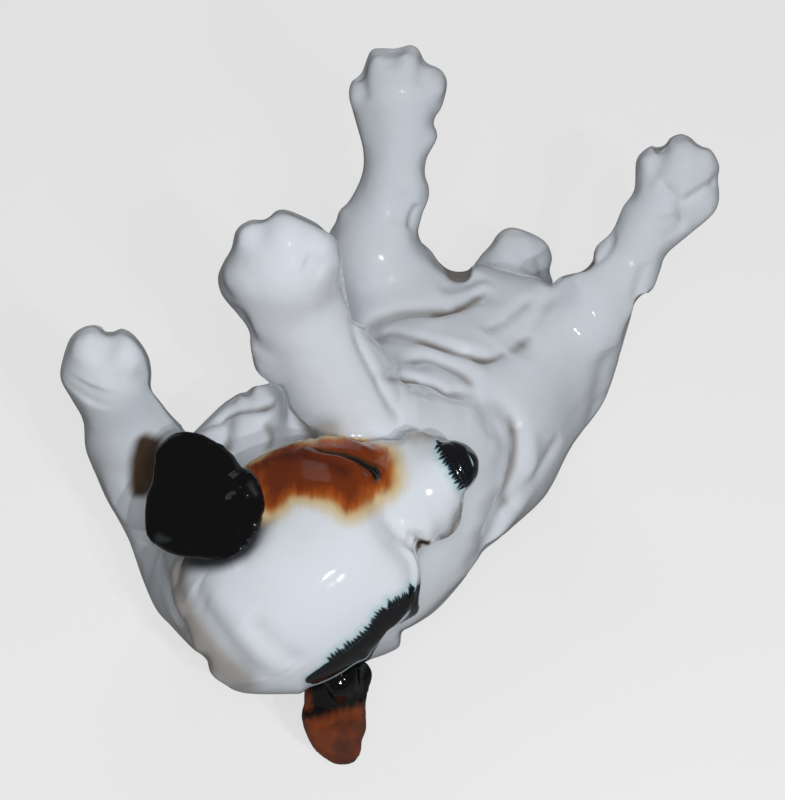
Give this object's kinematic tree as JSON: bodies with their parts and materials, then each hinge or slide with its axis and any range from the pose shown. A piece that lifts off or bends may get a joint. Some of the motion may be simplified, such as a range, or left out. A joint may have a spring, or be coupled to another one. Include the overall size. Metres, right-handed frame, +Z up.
{
  "type": "dog figurine",
  "caption": "Glazed bone-china figurine of a terrier puppy rolling on its back, legs in the air and head turned along its chest, with dark ears and a flat on the back to stand on.",
  "frame": {"origin": "bottom centre of the bounding box, on the ground that the figurine lies on", "axes": "+Z up, +Y from the head towards the tail, +X to the side that the dog turns its head to"},
  "size_m": [0.06, 0.1196, 0.0774],
  "materials": {
    "white_glaze": "clear gloss glaze on white bone china, with painted patches on the head",
    "black_glaze": "clear gloss glaze over black and red-brown ceramic colour"
  },
  "bodies": {
    "root": {"torso": "white_glaze", "head": "white_glaze", "left_foreleg": "white_glaze", "right_foreleg": "white_glaze", "left_hindleg": "white_glaze", "right_hindleg": "white_glaze", "tail": "white_glaze", "left_ear": "black_glaze", "right_ear": "black_glaze"}
  },
  "joints": []
}
